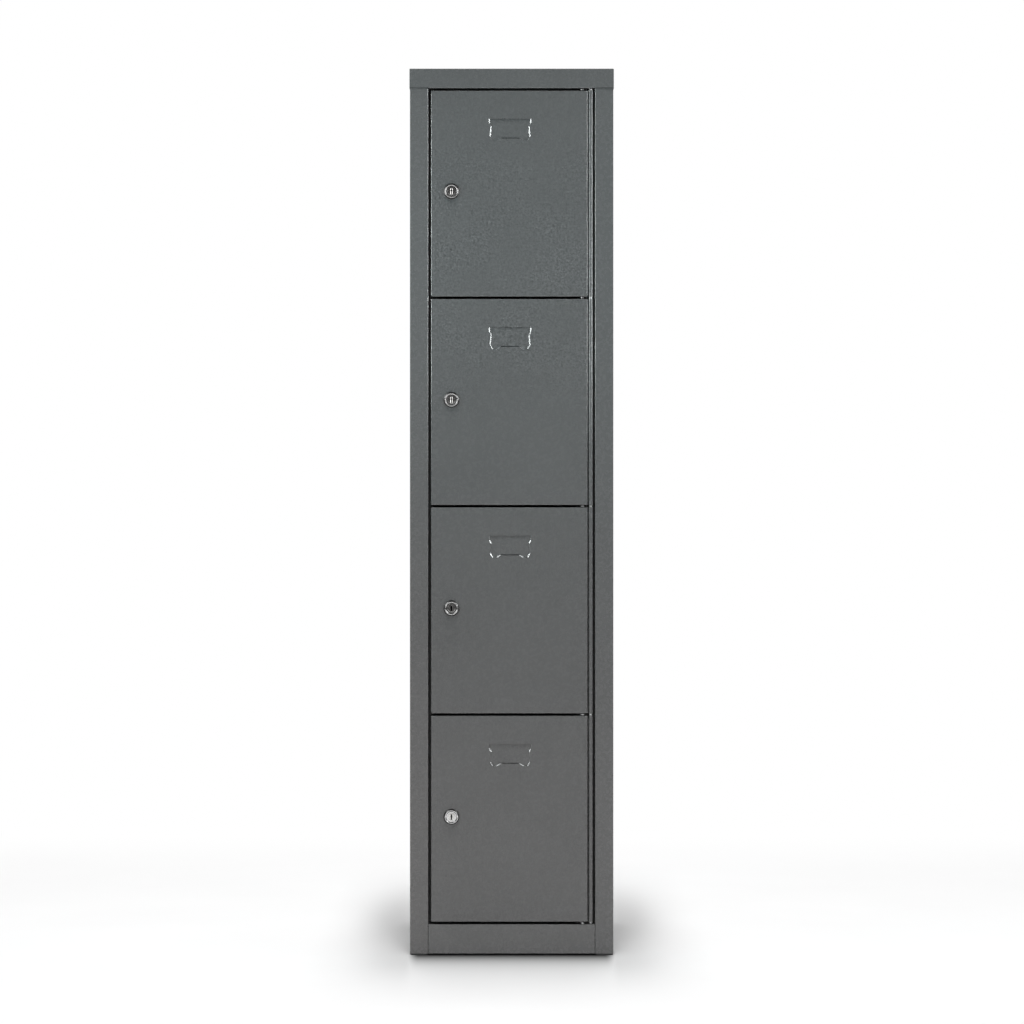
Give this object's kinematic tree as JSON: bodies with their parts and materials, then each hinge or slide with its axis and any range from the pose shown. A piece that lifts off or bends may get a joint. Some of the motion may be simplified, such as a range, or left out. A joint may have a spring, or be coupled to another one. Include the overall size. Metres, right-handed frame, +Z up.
{
  "type": "locker cabinet",
  "caption": "Tall single-column steel locker with stacked hinged doors, each with a round key lock and a pressed card holder, over closed compartments.",
  "frame": {"origin": "on the floor, in the middle of the footprint", "axes": "+Z up, the doors face -Y, +X to the right seen from the front (hinge side)"},
  "size_m": [0.415, 0.5052, 1.8],
  "materials": {
    "grey_coat": "dark grey hammer-textured powder coat, semi-matt",
    "lock_chrome": "polished chrome plate, lightly used",
    "zinc_plate": "bright zinc plate",
    "rivet_aluminium": "plain aluminium blind rivets",
    "nylon": "natural nylon",
    "buffer_rubber": "black rubber",
    "foot_plastic": "black moulded plastic"
  },
  "bodies": {
    "root": {"back_panel": "grey_coat", "back_panel_rivets": "rivet_aluminium", "base_rail": "grey_coat", "cap_rivets": "rivet_aluminium", "corner_feet": "foot_plastic", "door_buffers": "buffer_rubber", "floor_panel": "grey_coat", "hinge_pins": "zinc_plate", "hinge_plate_bottom": "zinc_plate", "hinge_plate_lower": "zinc_plate", "hinge_plate_middle": "zinc_plate", "hinge_plate_rivets": "zinc_plate", "hinge_plate_top": "zinc_plate", "hinge_plate_upper": "zinc_plate", "left_side_panel": "grey_coat", "right_side_panel": "grey_coat", "shelf_1": "grey_coat", "shelf_2": "grey_coat", "shelf_3": "grey_coat", "top_cap": "grey_coat", "top_panel": "grey_coat"},
    "door_1": {"door_1": "grey_coat", "door_bushes_1": "nylon", "lock_housing_1": "lock_chrome", "lock_nut_1": "zinc_plate"},
    "lock_1": {"cam_screw_1": "zinc_plate", "lock_cam_1": "zinc_plate", "lock_plug_1": "lock_chrome"},
    "door_2": {"door_2": "grey_coat", "door_bushes_2": "nylon", "lock_housing_2": "lock_chrome", "lock_nut_2": "zinc_plate"},
    "lock_2": {"cam_screw_2": "zinc_plate", "lock_cam_2": "zinc_plate", "lock_plug_2": "lock_chrome"},
    "door_3": {"door_3": "grey_coat", "door_bushes_3": "nylon", "lock_housing_3": "lock_chrome", "lock_nut_3": "zinc_plate"},
    "lock_3": {"cam_screw_3": "zinc_plate", "lock_cam_3": "zinc_plate", "lock_plug_3": "lock_chrome"},
    "door_4": {"door_4": "grey_coat", "door_bushes_4": "nylon", "lock_housing_4": "lock_chrome", "lock_nut_4": "zinc_plate"},
    "lock_4": {"cam_screw_4": "zinc_plate", "lock_cam_4": "zinc_plate", "lock_plug_4": "lock_chrome"}
  },
  "joints": [
    {"name": "door_1_hinge", "type": "hinge", "parent": "root", "child": "door_1", "pos_m": [0.1607, -0.2432, 1.54638], "axis": [0, 0, 1], "range_deg": [0, 110]},
    {"name": "door_2_hinge", "type": "hinge", "parent": "root", "child": "door_2", "pos_m": [0.1607, -0.2432, 1.12312], "axis": [0, 0, 1], "range_deg": [0, 110]},
    {"name": "door_3_hinge", "type": "hinge", "parent": "root", "child": "door_3", "pos_m": [0.1607, -0.2432, 0.69988], "axis": [0, 0, 1], "range_deg": [0, 110]},
    {"name": "door_4_hinge", "type": "hinge", "parent": "root", "child": "door_4", "pos_m": [0.1607, -0.2432, 0.27663], "axis": [0, 0, 1], "range_deg": [0, 110]},
    {"name": "lock_1_turn", "type": "hinge", "parent": "door_1", "child": "lock_1", "pos_m": [-0.1222, -0.2476, 1.5508], "axis": [0, 1, 0], "range_deg": [0, 180]},
    {"name": "lock_2_turn", "type": "hinge", "parent": "door_2", "child": "lock_2", "pos_m": [-0.1222, -0.2476, 1.12755], "axis": [0, 1, 0], "range_deg": [0, 180]},
    {"name": "lock_3_turn", "type": "hinge", "parent": "door_3", "child": "lock_3", "pos_m": [-0.1222, -0.2476, 0.7043], "axis": [0, 1, 0], "range_deg": [0, 180]},
    {"name": "lock_4_turn", "type": "hinge", "parent": "door_4", "child": "lock_4", "pos_m": [-0.1222, -0.2476, 0.28105], "axis": [0, 1, 0], "range_deg": [0, 180]}
  ]
}
